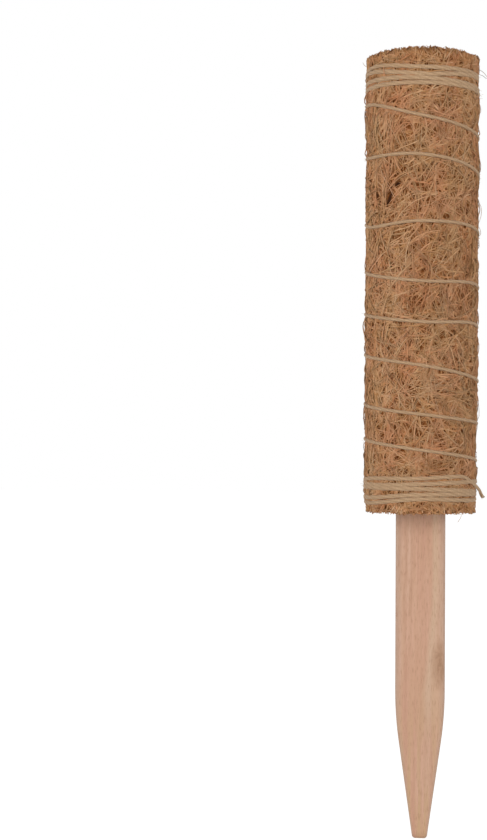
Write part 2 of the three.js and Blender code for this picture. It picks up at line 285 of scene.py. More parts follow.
# Stake: where the pale band of grain bends and fades, its place below and above the bend, and the knot
BAND_BEND = (-70 * MM, -36 * MM)
BAND_PLACES = (2.9 * MM, 5.4 * MM)
BAND_WIDTHS = (3.0 * MM, 1.6 * MM)
BAND_WAVER = 0.4 * MM
BAND_FADE = (-90 * MM, -72 * MM)
TAN_RISE = (-112 * MM, -62 * MM)
TAPER_TOP = -82 * MM
TIP_HALF_WIDTH = 2.9 * MM
TIP_DARKENING_REACH = 2.5 * MM
KNOT_PLACE = (7.2 * MM, -58.5 * MM)
KNOT_REACH = (3.5 * MM, 10.5 * MM)
KNOT_STRENGTH = 0.62

# Empty edge of each strand's cell in its UV map, as a share of the cell
CELL_MARGIN = 0.1

# Light: a lamp's place, size and power
WORLD_STRENGTH = 0.38
KEY_LAMP = ((-1.2, -1.15, 0.22), 1.4, 17)
FILL_LAMP = ((1.2, -1.15, 0.18), 1.4, 14.5)
WHITE = (1, 1, 1, 1)
FLOOR_COLOUR = (0.86, 0.86, 0.86, 1)
FLOOR_SIZE = 6.0
FLOOR_GLOW = 1.7
FLOOR_GLOW_SHARE = 0.5


def srgb(red, green, blue):
    """A colour written in 0 to 255 display values, as the linear colour that nodes take."""
    def linear(value):
        share = value / 255
        return share / 12.92 if share <= 0.04045 else ((share + 0.055) / 1.055) ** 2.4

    return (linear(red), linear(green), linear(blue), 1.0)


# Node helpers
def add(tree, kind, inputs=None, **settings):
    """A new node, with its settings, and inputs that are plain values or sockets to link."""
    made = tree.nodes.new(kind)
    for key, value in settings.items():
        setattr(made, key, value)
    for key, value in (inputs or {}).items():
        set_input(tree, made.inputs[key], value)
    return made


def set_input(tree, socket, value):
    if isinstance(value, bpy.types.NodeSocket):
        tree.links.new(value, socket)
    else:
        socket.default_value = value


def ramp(tree, factor, *stops):
    """A colour ramp through stops of position and colour."""
    made = add(tree, "ShaderNodeValToRGB", {"Fac": factor})
    elements = made.color_ramp.elements
    while len(elements) < len(stops):
        elements.new(1.0)
    for element, (position, colour) in zip(elements, stops):
        element.position = position
        element.color = colour
    return made.outputs["Color"]


def span(tree, value, low, high, to_low=0.0, to_high=1.0):
    """A value brought from one range to another and held inside it."""
    inputs = {"Value": value, "From Min": low, "From Max": high, "To Min": to_low, "To Max": to_high}
    return add(tree, "ShaderNodeMapRange", inputs).outputs["Result"]


def math_node(tree, operation, first, second=0.0):
    made = add(tree, "ShaderNodeMath", {0: first, 1: second}, operation=operation)
    return made.outputs["Value"]


def vector_node(tree, operation, first, second=(0, 0, 0)):
    made = add(tree, "ShaderNodeVectorMath", {0: first, 1: second}, operation=operation)
    return made.outputs["Vector"]


def weighted(tree, first, first_share, second):
    """Two values added together, the second with the share that the first leaves."""
    part = math_node(tree, "MULTIPLY", first, first_share)
    rest = math_node(tree, "MULTIPLY", second, 1 - first_share)
    return math_node(tree, "ADD", part, rest)


def mix(tree, factor, first, second, kind="RGBA"):
    """A mix of two colours or, where the kind says so, of two vectors."""
    made = add(tree, "ShaderNodeMix", {"Factor": factor}, data_type=kind)
    for name, value in (("A", first), ("B", second)):
        set_input(tree, next(s for s in made.inputs if s.name == name and s.type == kind), value)
    return next(s for s in made.outputs if s.type == kind)


def object_place(tree):
    return add(tree, "ShaderNodeTexCoord").outputs["Object"]


def point_share(tree, name):
    """A value that the mesh keeps at each of its points."""
    return add(tree, "ShaderNodeAttribute", attribute_name=name).outputs["Fac"]


def place_noise(tree, scale, stretch=(1, 1, 1), detail=3.0, shift=(0, 0, 0)):
    """Noise in the object's own metres. A stretch below 1 draws the pattern out along that axis."""
    mapping = {"Vector": object_place(tree), "Scale": stretch, "Location": shift}
    mapped = add(tree, "ShaderNodeMapping", mapping).outputs["Vector"]
    made = add(tree, "ShaderNodeTexNoise", {"Vector": mapped, "Scale": scale, "Detail": detail})
    return made.outputs["Fac"]


def bump(tree, shader, height, strength, distance):
    made = add(tree, "ShaderNodeBump", {"Height": height, "Strength": strength, "Distance": distance})
    tree.links.new(made.outputs["Normal"], shader.inputs["Normal"])


def new_material(name):
    material = bpy.data.materials.new(name)
    material.use_nodes = True
    tree = material.node_tree
    return material, tree, tree.nodes["Principled BSDF"]


def feed(tree, shader, colour, roughness):
    tree.links.new(colour, shader.inputs["Base Color"])
    tree.links.new(roughness, shader.inputs["Roughness"])


# Materials
def fibre_material(name):
    """Coir: each fibre has its own tone, from dark husk to straw, and leans to gold or to red."""
    material, tree, shader = new_material(name)
    fleck = place_noise(tree, 900, (1, 1, 0.5))
    shade = math_node(tree, "ADD", point_share(tree, "tone"), span(tree, fleck, 0.3, 0.7, -0.05, 0.05))
    gold = ramp(
        tree, shade,
        (0.0, srgb(102, 55, 16)), (0.35, srgb(193, 140, 89)),
        (0.65, srgb(219, 176, 133)), (1.0, srgb(235, 208, 174)),
    )
    red = ramp(
        tree, shade,
        (0.0, srgb(98, 47, 13)), (0.35, srgb(191, 126, 82)),
        (0.65, srgb(217, 159, 118)), (1.0, srgb(232, 196, 163)),
    )
    colour = mix(tree, point_share(tree, "hue"), gold, red)
    feed(tree, shader, colour, span(tree, fleck, 0.3, 0.7, 0.6, 0.8))
    shader.inputs["Specular IOR Level"].default_value = 0.2
    return material


def soften(material):
    """Shade fibres partly as the round of the whole mat, as light that spreads through a tangle does."""
    tree = material.node_tree
    own = add(tree, "ShaderNodeNewGeometry").outputs["Normal"]
    place = object_place(tree)
    level = vector_node(tree, "MULTIPLY", place, (1, 1, 0))
    rise = add(tree, "ShaderNodeSeparateXYZ", {"Vector": place}).outputs["Z"]
    roll = span(tree, rise, MAT_TOP - RIM_ROLL_REACH, MAT_TOP, 0.0, RIM_ROLL)
    up = add(tree, "ShaderNodeCombineXYZ", {"Z": roll}).outputs["Vector"]
    out = vector_node(tree, "ADD", vector_node(tree, "NORMALIZE", level), up)
    even = vector_node(tree, "NORMALIZE", mix(tree, SOFTNESS, own, out, "VECTOR"))
    tree.links.new(even, tree.nodes["Principled BSDF"].inputs["Normal"])


def core_material():
    """The depth of the mat between the fibres: husk dust with paler threads, and painted shade in the
    holes.
    """
    material, tree, shader = new_material("coir_core")
    patch = place_noise(tree, 160)
    thread = place_noise(tree, 1100, (1, 1, 0.3), 4.0)
    colour = ramp(
        tree, weighted(tree, patch, 0.5, thread),
        (0.3, srgb(108, 62, 30)), (0.5, srgb(148, 97, 56)), (0.7, srgb(176, 124, 80)),
    )
    # Painted shade in the needle holes, and darker painted shade in the torn holes; the holes also sink
    # into the core
    colour = mix(tree, span(tree, point_share(tree, "pit_painted_shade"), 0.1, 0.6), colour, srgb(121, 69, 29))
    colour = mix(tree, span(tree, point_share(tree, "torn"), 0.12, 0.45), colour, srgb(74, 43, 25))
    feed(tree, shader, colour, span(tree, thread, 0.3, 0.7, 0.85, 1.0))
    shader.inputs["Specular IOR Level"].default_value = 0.15
    bump(tree, shader, thread, 0.6, 0.25 * MM)
    return material


def jute_material():
    """Jute twine: pale straw yarn, with painted shade in the grooves between its plies."""
    material, tree, shader = new_material("jute_twine")
    strand = place_noise(tree, 2200, (1, 1, 1), 4.0)
    patch = place_noise(tree, 110)
    straw = ramp(
        tree, strand,
        (0.3, srgb(173, 139, 104)), (0.5, srgb(189, 156, 121)), (0.7, srgb(203, 172, 137)),
    )
    warm = mix(tree, span(tree, patch, 0.4, 0.65, 0.0, 0.5), straw, srgb(186, 151, 116))
    # Painted shade in the grooves between the plies
    groove_painted_shade = span(tree, point_share(tree, "ply"), 0.0, 0.6, 0.35, 0.0)
    colour = mix(tree, groove_painted_shade, warm, srgb(130, 98, 70))
    feed(tree, shader, colour, span(tree, strand, 0.3, 0.7, 0.75, 0.9))
    shader.inputs["Specular IOR Level"].default_value = 0.2
    shader.inputs["Sheen Weight"].default_value = 0.15
    bump(tree, shader, strand, 0.4, 0.12 * MM)
    return material


def wood_material():
    """Sawn softwood: pinkish, with pores, a pale band of grain, tan streaks, a knot, and painted shade
    along its side edges.
    """
    material, tree, shader = new_material("stake_wood")
    axes = add(tree, "ShaderNodeSeparateXYZ", {"Vector": object_place(tree)})
    across, along = axes.outputs["X"], axes.outputs["Z"]
    streak = place_noise(tree, 600, (1, 1, 0.03), 5.0)
    broad = place_noise(tree, 120, (1, 1, 0.08), 2.0, (0.3, 0.1, 0))
    grain = place_noise(tree, 1500, (1, 1, 0.06), 4.0)
    pore = place_noise(tree, 3200, (1, 1, 0.1), 3.0)
    heart = ramp(
        tree, weighted(tree, streak, 0.55, grain),
        (0.36, srgb(191, 147, 121)), (0.5, srgb(204, 162, 136)), (0.64, srgb(215, 176, 151)),
    )
    pink = mix(tree, span(tree, broad, 0.42, 0.62, 0.0, 0.5), heart, srgb(207, 158, 133))
    pale = mix(tree, band_share(tree, across, along, broad), pink, srgb(209, 177, 150))
    tan_streak = place_noise(tree, 650, (1, 1, 0.04), 4.0, (0.7, 0.2, 0))
    tan_fade = span(tree, along, *TAN_RISE, 0.85, 0.15)
    tan_share = math_node(tree, "MULTIPLY", span(tree, tan_streak, 0.42, 0.58), tan_fade)
    tanned = mix(tree, tan_share, pale, srgb(201, 165, 127))
    # Painted shade towards the stake's rounded side edges
    half_width = span(tree, along, STAKE_TIP, TAPER_TOP, TIP_HALF_WIDTH, STAKE_HALF_WIDTH)
    out = math_node(tree, "DIVIDE", math_node(tree, "ABSOLUTE", across), half_width)
    edge_painted_shade = mix(tree, span(tree, out, 0.72, 1.0, 0.0, 0.75), tanned, srgb(187, 160, 142))
    # Darker over the last few millimetres towards the tip
    end = span(tree, along, STAKE_TIP, STAKE_TIP + TIP_DARKENING_REACH, 0.5, 0.0)
    tipped = mix(tree, end, edge_painted_shade, srgb(160, 122, 96))
    grained = mix(tree, span(tree, pore, 0.34, 0.47, 0.5, 0.0), tipped, srgb(170, 126, 98))
    knot = knot_share(tree, across, along)
    stained = mix(tree, knot, grained, srgb(172, 133, 104))
    blot = place_noise(tree, 560, (1, 1, 0.6), 3.0, (0.1, 0, 0.02))
    spots = math_node(tree, "MULTIPLY", knot, span(tree, blot, 0.48, 0.6, 0.0, 0.6))
    colour = mix(tree, spots, stained, srgb(142, 104, 74))
    feed(tree, shader, colour, span(tree, streak, 0.3, 0.7, 0.58, 0.72))
    shader.inputs["Specular IOR Level"].default_value = 0.3
    bump(tree, shader, pore, 0.3, 0.1 * MM)
    return material


def band_share(tree, across, along, broad):
    """How much of the pale band of grain shows. It is softer on its right, and weaker towards the tip."""
    off = math_node(tree, "SUBTRACT", across, span(tree, along, *BAND_BEND, *BAND_PLACES))
    right = math_node(tree, "MULTIPLY", off, 0.5)
    left = math_node(tree, "MULTIPLY", off, -1.0)
    waver = span(tree, broad, 0.3, 0.7, -BAND_WAVER, BAND_WAVER)
    beside = math_node(tree, "ADD", math_node(tree, "MAXIMUM", left, right), waver)
    apart = math_node(tree, "DIVIDE", beside, span(tree, along, *BAND_BEND, *BAND_WIDTHS))
    fade = span(tree, along, *BAND_FADE, 0.2, 0.85)
    return math_node(tree, "MULTIPLY", span(tree, apart, 0.1, 1.0, 1.0, 0.0), fade)


def knot_share(tree, across, along):
    """How much of the knot shows: most in the middle of a slim upright patch, fading to 0 at its edge."""
    squares = []
    for value, middle, reach in zip((across, along), KNOT_PLACE, KNOT_REACH):
        off = math_node(tree, "DIVIDE", math_node(tree, "SUBTRACT", value, middle), reach)
        squares.append(math_node(tree, "MULTIPLY", off, off))
    return span(tree, math_node(tree, "ADD", *squares), 0.0, 1.0, KNOT_STRENGTH, 0.0)


def plastic_material():
    """Extruded tube: off-white, with faint drawn lines and handling marks."""
    material, tree, shader = new_material("tube_plastic")
    line = place_noise(tree, 1500, (1, 1, 0.01), 2.0)
    mark = place_noise(tree, 90, (1, 1, 1), 4.0)
    colour = ramp(
        tree, weighted(tree, line, 0.3, mark),
        (0.35, srgb(198, 194, 184)), (0.5, srgb(216, 213, 205)), (0.65, srgb(225, 223, 217)),
    )
    feed(tree, shader, colour, span(tree, mark, 0.3, 0.7, 0.32, 0.5))
    bump(tree, shader, line, 0.15, 0.05 * MM)
    return material


def steel_material():
    """Plain wire nails, a little dulled."""
    material, tree, shader = new_material("nail_steel")
    dull = place_noise(tree, 1200, (1, 1, 1), 4.0)
    colour = ramp(tree, dull, (0.35, srgb(122, 121, 118)), (0.65, srgb(168, 168, 165)))
    feed(tree, shader, colour, span(tree, dull, 0.3, 0.7, 0.3, 0.55))
    shader.inputs["Metallic"].default_value = 1.0
    bump(tree, shader, dull, 0.2, 0.03 * MM)
    return material


# Curves and forms of the pole
def on_pole(radius, angle, height):
    return np.stack((radius * np.cos(angle), radius * np.sin(angle), height), axis=-1)


def unit(vectors):
    return vectors / np.maximum(np.linalg.norm(vectors, axis=-1, keepdims=True), 1e-12)


def turn_from(angle, other):
    """The turn to an angle from another the shorter way, from minus half a turn to half a turn."""
    return (np.asarray(angle) - other + math.pi) % (2 * math.pi) - math.pi


def bell(distance, reach):
    return np.exp(-((distance / reach) ** 2))


def smooth_step(value, low, high):
    t = np.clip((value - low) / (high - low), 0, 1)
    return t * t * (3 - 2 * t)


def smooth_curve(stations, places):
    """A smooth curve through pairs of place and value, read at any places."""
    at, value = np.array(stations).T
    slope = np.gradient(value, at)
    slope[1:-1] = (value[2:] - value[:-2]) / (at[2:] - at[:-2])
    part = np.clip(np.searchsorted(at, places, side="right") - 1, 0, len(at) - 2)
    width = at[part + 1] - at[part]
    t = (places - at[part]) / width
    start = (2 * t ** 3 - 3 * t ** 2 + 1) * value[part] + (t ** 3 - 2 * t ** 2 + t) * width * slope[part]
    end = (3 * t ** 2 - 2 * t ** 3) * value[part + 1] + (t ** 3 - t ** 2) * width * slope[part + 1]
    return start + end


def patches(angle, height, phase):
    """Slow, irregular patches over the mat, about from -1 to 1."""
    wide = np.sin(4 * angle + 70 * height + phase) * np.sin(130 * height - 3 * angle + 2 * phase)
    small = np.sin(9 * angle - 240 * height + 3 * phase) * np.sin(310 * height + 5 * angle)
    return wide + 0.6 * small


def pole_noise(angle, height, scale):
    """Noise over the mat's face, at each of a grid of angles and heights."""
    places = zip(np.cos(angle).ravel(), np.sin(angle).ravel(), (height / MAT_RADIUS).ravel())
    return np.reshape([noise.noise(Vector(place) * scale) for place in places], angle.shape)


def mat_radius(angle, height):
    """The mat's outer face: slow lumps of loose fibre, and the bulges and hollows of the outline."""
    lumps = np.sin(3 * angle + 60 * height) * np.sin(2 * angle - 95 * height + 1)
    lumps = lumps + 0.7 * np.sin(5 * angle + 210 * height + 2)
    bulges = 0
    for at, level, size in BULGES:
        round_share = bell(turn_from(angle, math.radians(at)), BULGE_TURN)
        bulges = bulges + size * MM * round_share * bell(height - level * MM, BULGE_REACH)
    return MAT_RADIUS + LUMP_HEIGHT * lumps + bulges


def rim_cut(angle, height):
    """How far the uneven cut lifts or lowers a place near the top rim."""
    lift = 0
    for at, size, spread in RIM_CUTS:
        lift = lift + size * MM * bell(turn_from(angle, math.radians(at)), math.radians(spread))
    return smooth_step(height, MAT_TOP - RIM_CUT_REACH, MAT_TOP) * lift


def rim_painted_shade(height):
    """Painted shade: how much darker fibres are towards the top rim."""
    return RIM_PAINTED_SHADE * bell(height - MAT_TOP, RIM_PAINTED_SHADE_REACH)


def seam_distance(angle):
    """Distance round the mat's face to the seam at the back."""
    return np.abs(turn_from(angle, SEAM_ANGLE)) * MAT_RADIUS


def binding_share(height):
    """1 in the middle of each binding, fading to 0 away from it."""
    return sum(bell(height - middle, BINDING_REACH) for middle in BINDING_MIDDLES)


def winding_stations():
    """Pairs of turns wound and height in millimetres that the twine passes through."""
    stations = [TUCKED_START]
    for turn, heights in enumerate(TURN_HEIGHTS):
        stations += [(turn + place, height) for place, height in zip(TURN_PLACES, heights)]
    return stations + list(FINISH_STATIONS)


STATIONS = winding_stations()


def groove_share(angle, height):
    """1 under the twine, fading to 0 beside it."""
    turn = (np.asarray(angle) / math.pi - 1) / 2 % 1
    gap = np.full(np.broadcast(turn, height).shape, 1.0)
    for loop in range(len(TURN_HEIGHTS) + 1):
        wound = np.clip(turn + loop, STATIONS[0][0], TAIL_START)
        gap = np.minimum(gap, np.abs(height - smooth_curve(STATIONS, wound) * MM))
    return bell(gap, GROOVE_REACH)


# Holes in the mat
def needle_holes():
    """For each cell of the grid, one hole: its place in the cell, turn, stretch and mostly small radius."""
    draws = np.random.default_rng(PIT_SEED).uniform(0, 1, (6, PIT_ROWS, PIT_COLUMNS))
    chance, size, across, up, turn, stretch = draws
    column, row = np.meshgrid(np.arange(PIT_COLUMNS), np.arange(PIT_ROWS))
    angle = column * 2 * math.pi / PIT_COLUMNS
    height = MAT_BOTTOM + row * PIT_SPACING
    there = chance < PIT_CHANCE + PIT_CLUSTERS * patches(angle, height, PIT_PHASE)
    there = there & (height < MAT_TOP - PIT_RIM_GAP)
    low, high = PIT_RADII
    radius = np.where(there, low + (high - low) * size ** 2.5, NO_HOLE)
    return np.stack((across, up, math.pi * turn, 1 + PIT_STRETCH * stretch, radius), axis=-1)


PITS = needle_holes()


def hole_reach(side, rise, turn, stretch, radius):
    """How far out in a hole a place lies, 1 at its edge, where the hole is a turned and stretched round."""
    long = (side * np.cos(turn) + rise * np.sin(turn)) / stretch
    short = (rise * np.cos(turn) - side * np.sin(turn)) * stretch
    return np.hypot(long, short) / radius


def hole_reaches(angle, height):
    """How far out a place lies in each of the needle holes near it."""
    column = np.asarray(angle) / (2 * math.pi) * PIT_COLUMNS
    row = (np.asarray(height) - MAT_BOTTOM) / PIT_SPACING + 1
    for cells_across in (-1, 0, 1):
        for cells_up in (-1, 0, 1):
            cell_column = np.floor(column).astype(int) + cells_across
            cell_row = np.clip(np.floor(row).astype(int) + cells_up, 0, PIT_ROWS - 1)
            holes = PITS[cell_row, cell_column % PIT_COLUMNS]
            across, up, turn, stretch, radius = np.moveaxis(holes, -1, 0)
            side = (column - cell_column - across) * PIT_SPACING
            rise = (row - cell_row - up) * PIT_SPACING
            yield hole_reach(side, rise, turn, stretch, radius)


def pit_share(angle, height):
    """1 in the middle of each needle hole, fading to 0 away from it."""
    share = 0
    for reach in hole_reaches(angle, height):
        share = np.maximum(share, bell(reach, PIT_FADE))
    return share


def torn_share(angle, height):
    """1 in the middle of each torn hole, fading to 0 beyond its edge."""
    share = 0
    for at, level, lean, stretch, radius in TORN_HOLES:
        side = turn_from(angle, math.radians(at)) * MAT_RADIUS
        reach = hole_reach(side, height - level * MM, math.radians(lean), stretch, radius * MM)
        share = np.maximum(share, bell(reach, 1))
    return share


def over_holes(angle, height, open_share):
    """Which strands pass over the open share of a needle hole, and which over a torn one.

    Each step of a strand is tested at its start and in its middle.
    """
    over_needle, over_torn = False, False
    for part in (0, 0.5):
        at, level = (values[:, :-1] * (1 - part) + values[:, 1:] * part for values in (angle, height))
        nearest = np.min(list(hole_reaches(at, level)), axis=0)
        over_needle = over_needle | (nearest.min(axis=1) < open_share)
        over_torn = over_torn | (torn_share(at, level).max(axis=1) > TORN_OPEN)
    return over_needle, over_torn


# Meshes
def new_object(name, vertices, faces, material, smooth=True):
    mesh = bpy.data.meshes.new(name)
    mesh.from_pydata(np.asarray(vertices).tolist(), [], faces)
    mesh.polygons.foreach_set("use_smooth", [smooth] * len(mesh.polygons))
    mesh.materials.append(material)
    mesh.update()
    made = bpy.data.objects.new(name, mesh)
    bpy.context.collection.objects.link(made)
    return made


def point_value(made, name, values):
    attribute = made.data.attributes.new(name, "FLOAT", "POINT")
    attribute.data.foreach_set("value", np.asarray(values, dtype=np.float32).ravel())


def tube_faces(rows, columns, closed=False):
    """Faces between rows of points round a tube, and from the last row to the first where it is closed."""
    row = np.arange(rows if closed else rows - 1)[:, None]
    above = (row + 1) % rows
    corner = np.arange(columns)[None, :]
    after = (corner + 1) % columns
    places = ((row, corner), (row, after), (above, after), (above, corner))
    return np.stack([line * columns + at for line, at in places], axis=-1).reshape(-1, 4).tolist()


def strands_object(name, points, radii, values, material, sides):
    """One mesh of many strands. Points are strands by steps by 3, radii and values by steps or by 1."""
    strands, steps, _ = points.shape
    along = unit(np.gradient(points, axis=1))
    middle = points[:, steps // 2]
    reference = unit(middle * (1, 1, 0)) * 0.8 + np.array((0, 0, 0.6))
    side = unit(np.cross(along, reference[:, None, :]))
    up = np.cross(side, along)
    turns = (2 * math.pi * np.arange(sides) / sides)[:, None]
    ring = np.cos(turns) * side[:, :, None, :] + np.sin(turns) * up[:, :, None, :]
    vertices = points[:, :, None, :] + radii[:, :, None, None] * ring

    first = (np.arange(strands) * steps * sides)[:, None, None]
    row = (np.arange(steps - 1) * sides)[None, :, None]
    corner = np.arange(sides)[None, None, :]
    after = (corner + 1) % sides
    low, low_after = first + row + corner, first + row + after
    walls = np.stack((low, low + sides, low_after + sides, low_after), axis=-1).reshape(-1, 4)
    starts = first[:, 0] + np.arange(sides)[None, :]
    ends = first[:, 0] + (steps - 1) * sides + np.arange(sides)[None, ::-1]
    faces = walls.tolist() + starts.tolist() + ends.tolist()
    made = new_object(name, vertices.reshape(-1, 3), faces, material)
    each = np.ones((strands, steps, sides))
    for value_name, value in values.items():
        point_value(made, value_name, each * value[:, :, None])
    strand_cells(made, strands, steps, sides)
    return made


def strand_cells(made, strands, steps, sides):
    """A UV map where each strand has a cell of its own, so that its colour keeps its detail when baked."""
    cells = math.ceil(math.sqrt(strands))
    strand = np.arange(strands)[:, None, None, None]

    def in_cell(share, cell):
        return (cell + CELL_MARGIN + (1 - 2 * CELL_MARGIN) * share) / cells

    step = np.arange(steps - 1)[None, :, None, None]
    side = np.arange(sides)[None, None, :, None]
    u = (step + np.array((0, 1, 1, 0))) / (steps - 1) + 0 * side
    v = (side + np.array((0, 0, 1, 1))) / sides + 0 * step
    column, line = strand % cells, strand // cells
    every = [np.stack((in_cell(u, column), in_cell(v, line)), axis=-1)]
    round_share = np.arange(sides)[None, None, :, None] / sides
    for end in (0, 1):
        end_share = end + 0 * round_share
        every.append(np.stack((in_cell(end_share, column), in_cell(round_share, line)), axis=-1))
    layer = made.data.uv_layers.new(name="OFBake")
    flat = np.concatenate([part.reshape(-1, 2) for part in every])
    layer.data.foreach_set("uv", flat.astype(np.float32).ravel())


def strand_share(steps):
    """Places along a strand, from -0.5 at its start to 0.5 at its end, as one row."""
    return np.linspace(-0.5, 0.5, steps)[None, :]


def tapered(share, loss, power):
    """How thick a strand is along its length: 1 in its middle, less by the loss at its ends."""
    return 1 - loss * (2 * np.abs(share)) ** power


def varied(rng, strands, middle, spread, least, most):
    """One value for each strand, spread about a middle and held between limits."""
    return np.clip(rng.normal(middle, spread, (strands, 1)), least, most)


def dress(made):
    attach(made, "root")
    return made


def coir_strands(name, points, radii, tones, hues, material, sides):
    made = strands_object(name, points, radii, {"tone": tones, "hue": hues}, material, sides)
    return dress(made)


# Coir mat
def core_profile():
    """The core's section as radius and height: up its wall, inwards over the top and out underneath."""
    low, high = MAT_BOTTOM + CORE_INSET, MAT_TOP - CORE_INSET
    outer = MAT_RADIUS - CORE_DEPTH
    corner = [
        (outer - CORE_RIM_ROUND * (1 - math.sin(turn)), CORE_RIM_ROUND * (1 - math.cos(turn)))
        for turn in np.linspace(0.1, math.pi / 2, 4)
    ]
    bottom_rim = [(radius, low + inset) for radius, inset in corner[:-1]]
    levels = np.linspace(low + CORE_RIM_ROUND, high - CORE_RIM_ROUND, CORE_ROWS)
    wall = [(outer, level) for level in levels]
    top_rim = [(radius, high - inset) for radius, inset in corner[-2::-1]]
    across = np.linspace(outer - CORE_RIM_ROUND, MAT_INNER, 8)
    top_face = [(radius, high) for radius in across]
    bottom_face = [(radius, low) for radius in across[::-1]]
    return bottom_rim + wall + top_rim + top_face + bottom_face


def coir_core(material):
    """The closed body of the mat under its fibres, rough outside, with its holes and the seam's groove."""
    radii, heights = np.array(core_profile()).T
    angles = 2 * math.pi * np.arange(CORE_COLUMNS) / CORE_COLUMNS
    angle, height = np.meshgrid(angles, heights)
    on_face = np.clip((radii - MAT_INNER) / CORE_FACE_REACH, 0, 1)[:, None]
    needle = pit_share(angle, height)
    torn = on_face * torn_share(angle, height)
    seam = SEAM_DEPTH * bell(seam_distance(angle), SEAM_HALF_WIDTH)
    sink = seam + PIT_DEPTH * needle + GROOVE_DEPTH * groove_share(angle, height)
    rough = CORE_ROUGHNESS * (pole_noise(angle, height, 9) + 0.7 * pole_noise(angle, height, 22))
    loose = mat_radius(angle, height) - MAT_RADIUS
    out = radii[:, None] + on_face * (loose + rough - sink) - TORN_DEPTH * torn
    lift = CORE_ROUGHNESS * pole_noise(angle, height, 14) + rim_cut(angle, height)
    vertices = on_pole(out, angle, height + on_face * lift).reshape(-1, 3)
    made = new_object("coir_core", vertices, tube_faces(len(radii), CORE_COLUMNS, closed=True), material)
    # Where the core gets painted shade: in the needle holes and in the torn holes
    point_value(made, "pit_painted_shade", np.maximum(on_face * needle, torn))
    point_value(made, "torn", torn)
    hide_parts("coir_mat")
    return dress(made)


class Clumps:
    """Random values for fibres in clumps, drawn for each fibre or once for a clump and shared by it."""

    def __init__(self, seed, clumps):
        self.rng = np.random.default_rng(seed)
        self.clumps = clumps
        self.count = clumps * CLUMP_FIBRES

    def each(self, low, high):
        return self.rng.uniform(low, high, (self.count, 1))

    def stray(self, spread):
        return self.rng.normal(0, spread, (self.count, 1))

    def chance(self):
        return self.rng.uniform(0, 1, self.count)

    def shared_between(self, low, high):
        return np.repeat(self.rng.uniform(low, high, (self.clumps, 1)), CLUMP_FIBRES, axis=0)

    def shared_about(self, middle, spread):
        return np.repeat(self.rng.normal(middle, spread, (self.clumps, 1)), CLUMP_FIBRES, axis=0)

    def waves(self, share, number):
        return np.sin(2 * math.pi * (share * self.each(*number) + self.each(0, 1)))


def fibre_courses(draw, share, length):
    """Where each fibre runs over the mat's face: its angles and heights, held between the two rims."""
    upright = draw.shared_about(math.pi / 2, CLUMP_LEAN)
    bend = draw.shared_about(0, CLUMP_BEND)
    wiggle = draw.each(-FIBRE_WIGGLE, FIBRE_WIGGLE) * draw.waves(share, WIGGLE_WAVES)
    heading = upright + draw.stray(FIBRE_STRAY) + (bend + draw.stray(FIBRE_STRAY)) * share + wiggle
    step = draw.each(*length) / (share.size - 1)
    around = np.cumsum(np.cos(heading) * step, axis=1)
    rise = np.cumsum(np.sin(heading) * step, axis=1)
    around = around - around.mean(axis=1, keepdims=True)
    rise = rise - rise.mean(axis=1, keepdims=True)
    angle = draw.shared_between(0, 2 * math.pi) + (draw.stray(CLUMP_WIDTH) + around) / MAT_RADIUS
    height = draw.shared_between(MAT_BOTTOM, MAT_TOP) + draw.stray(CLUMP_LENGTH) + rise
    edge = draw.each(0, CUT_INSET)
    height = height - np.maximum(0, height.max(axis=1, keepdims=True) - (MAT_TOP - edge))
    height = height + np.maximum(0, MAT_BOTTOM + edge - height.min(axis=1, keepdims=True))
    return angle, height


def fibre_layer(material, name, seed, wanted, depth, tone, length, thickness, lift, steps, open_share):
    """A layer of fibres whose ends dip into the mat, and some of which arch or stand off it.

    More clumps are drawn than wanted, and those fibres are kept that leave the seam and the holes open.
    """
    draw = Clumps(seed, wanted * SPARE_CLUMPS)
    share = strand_share(steps)
    angle, height = fibre_courses(draw, share, length)
    groove = groove_share(angle, height)
    swell = draw.each(*SWELL_HEIGHT) * draw.waves(share, SWELL_WAVES)
    dip = draw.each(*END_DIP) * (2 * np.abs(share)) ** 4
    arch = lift * draw.each(0, 1) ** 6 * (1 - (2 * share) ** 2)
    free_end = lift * draw.each(0, 1) ** 9 * (share + 0.5) ** 2
    raised = (arch + free_end) * (1 - groove)
    layer = draw.shared_between(*depth) + draw.stray(DEPTH_STRAY)
    radius = mat_radius(angle, height) + layer + swell - dip + raised - GROOVE_DEPTH * groove
    points = on_pole(radius, angle, height + rim_cut(angle, height))

    off_seam = seam_distance(angle).min(axis=1) > SEAM_HALF_WIDTH
    off_seam = off_seam | (draw.chance() < SEAM_CROSSING_CHANCE)
    over_needle, over_torn = over_holes(angle, height, open_share)
    over_needle = over_needle & (draw.chance() > CROSSING_CHANCE)
    kept = np.flatnonzero(off_seam & ~over_needle & ~over_torn)[:wanted * CLUMP_FIBRES]

    radii = varied(draw.rng, draw.count, *(part * thickness for part in FIBRE_THICKNESS))
    radii = radii * tapered(share, *FIBRE_TAPER)
    by_clump, by_fibre, by_patch = TONE_SPREADS
    tones = draw.shared_about(tone, by_clump) + draw.stray(by_fibre)
    # Fibres raised off the mat get painted shade
    tones = tones + by_patch * patches(angle, height, TONE_PHASE) - RAISED_PAINTED_SHADE * raised
    # Painted shade around the needle holes and towards the top rim
    tones = np.clip(tones - PIT_PAINTED_SHADE * pit_share(angle, height) - rim_painted_shade(height), *TONE_LIMITS)
    by_clump, by_fibre, by_patch = HUE_SPREADS
    hues = draw.shared_about(HUE_MIDDLE, by_clump) + draw.stray(by_fibre)
    hues = np.clip(hues + by_patch * patches(angle, height, HUE_PHASE), 0, 1)
    return coir_strands(name, points[kept], radii[kept], tones[kept], hues[kept], material, FIBRE_SIDES)


